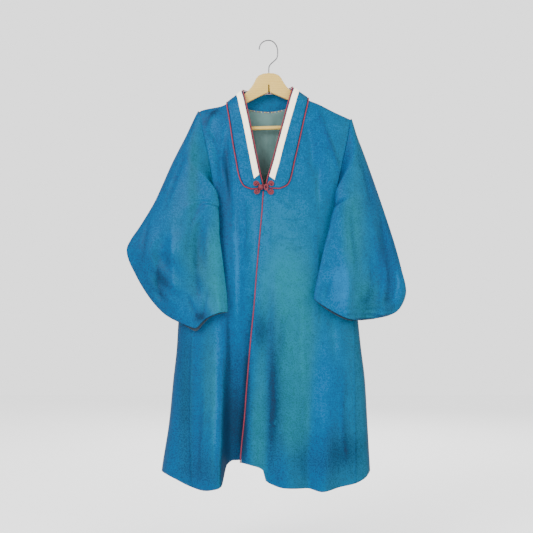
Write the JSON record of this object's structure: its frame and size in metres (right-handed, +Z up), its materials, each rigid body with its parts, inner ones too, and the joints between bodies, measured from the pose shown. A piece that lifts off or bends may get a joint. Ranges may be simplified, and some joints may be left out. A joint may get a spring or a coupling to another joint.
{
  "type": "satin overcoat with a banded neck, on a wooden hanger",
  "caption": "Knee-length shot satin overcoat with a banded neck, wide curved sleeves, red piping and a knotted cord closure, on a wooden hanger.",
  "frame": {"origin": "inside the top of the hook, where the hanger hangs on its rail", "axes": "+X to the viewer's right, +Y to the back of the coat, +Z up"},
  "size_m": [0.709, 0.1684, 1.1389],
  "materials": {
    "coat_satin": "shot satin",
    "lining": "satin",
    "collar_strip": "matt",
    "piping": "corded",
    "closure_cord": "corded",
    "wood": "satin varnish",
    "wire": "brushed"
  },
  "bodies": {
    "root": {"back_left": "coat_satin", "back_right": "coat_satin", "front_left": "coat_satin", "front_right": "coat_satin", "gore_left": "coat_satin", "gore_right": "coat_satin", "sleeve_left": "coat_satin", "sleeve_right": "coat_satin", "neck_band": "coat_satin", "back_lining": "lining", "collar_strip": "collar_strip", "piping_band": "piping", "piping_neck": "piping", "piping_front": "piping", "frog_left_upper_lobe": "closure_cord", "frog_left_lower_lobe": "closure_cord", "frog_right_upper_lobe": "closure_cord", "frog_right_lower_lobe": "closure_cord", "frog_knot": "closure_cord", "frog_loop": "closure_cord", "hanger_arms": "wood", "trouser_bar": "wood", "hook": "wire"}
  },
  "joints": []
}
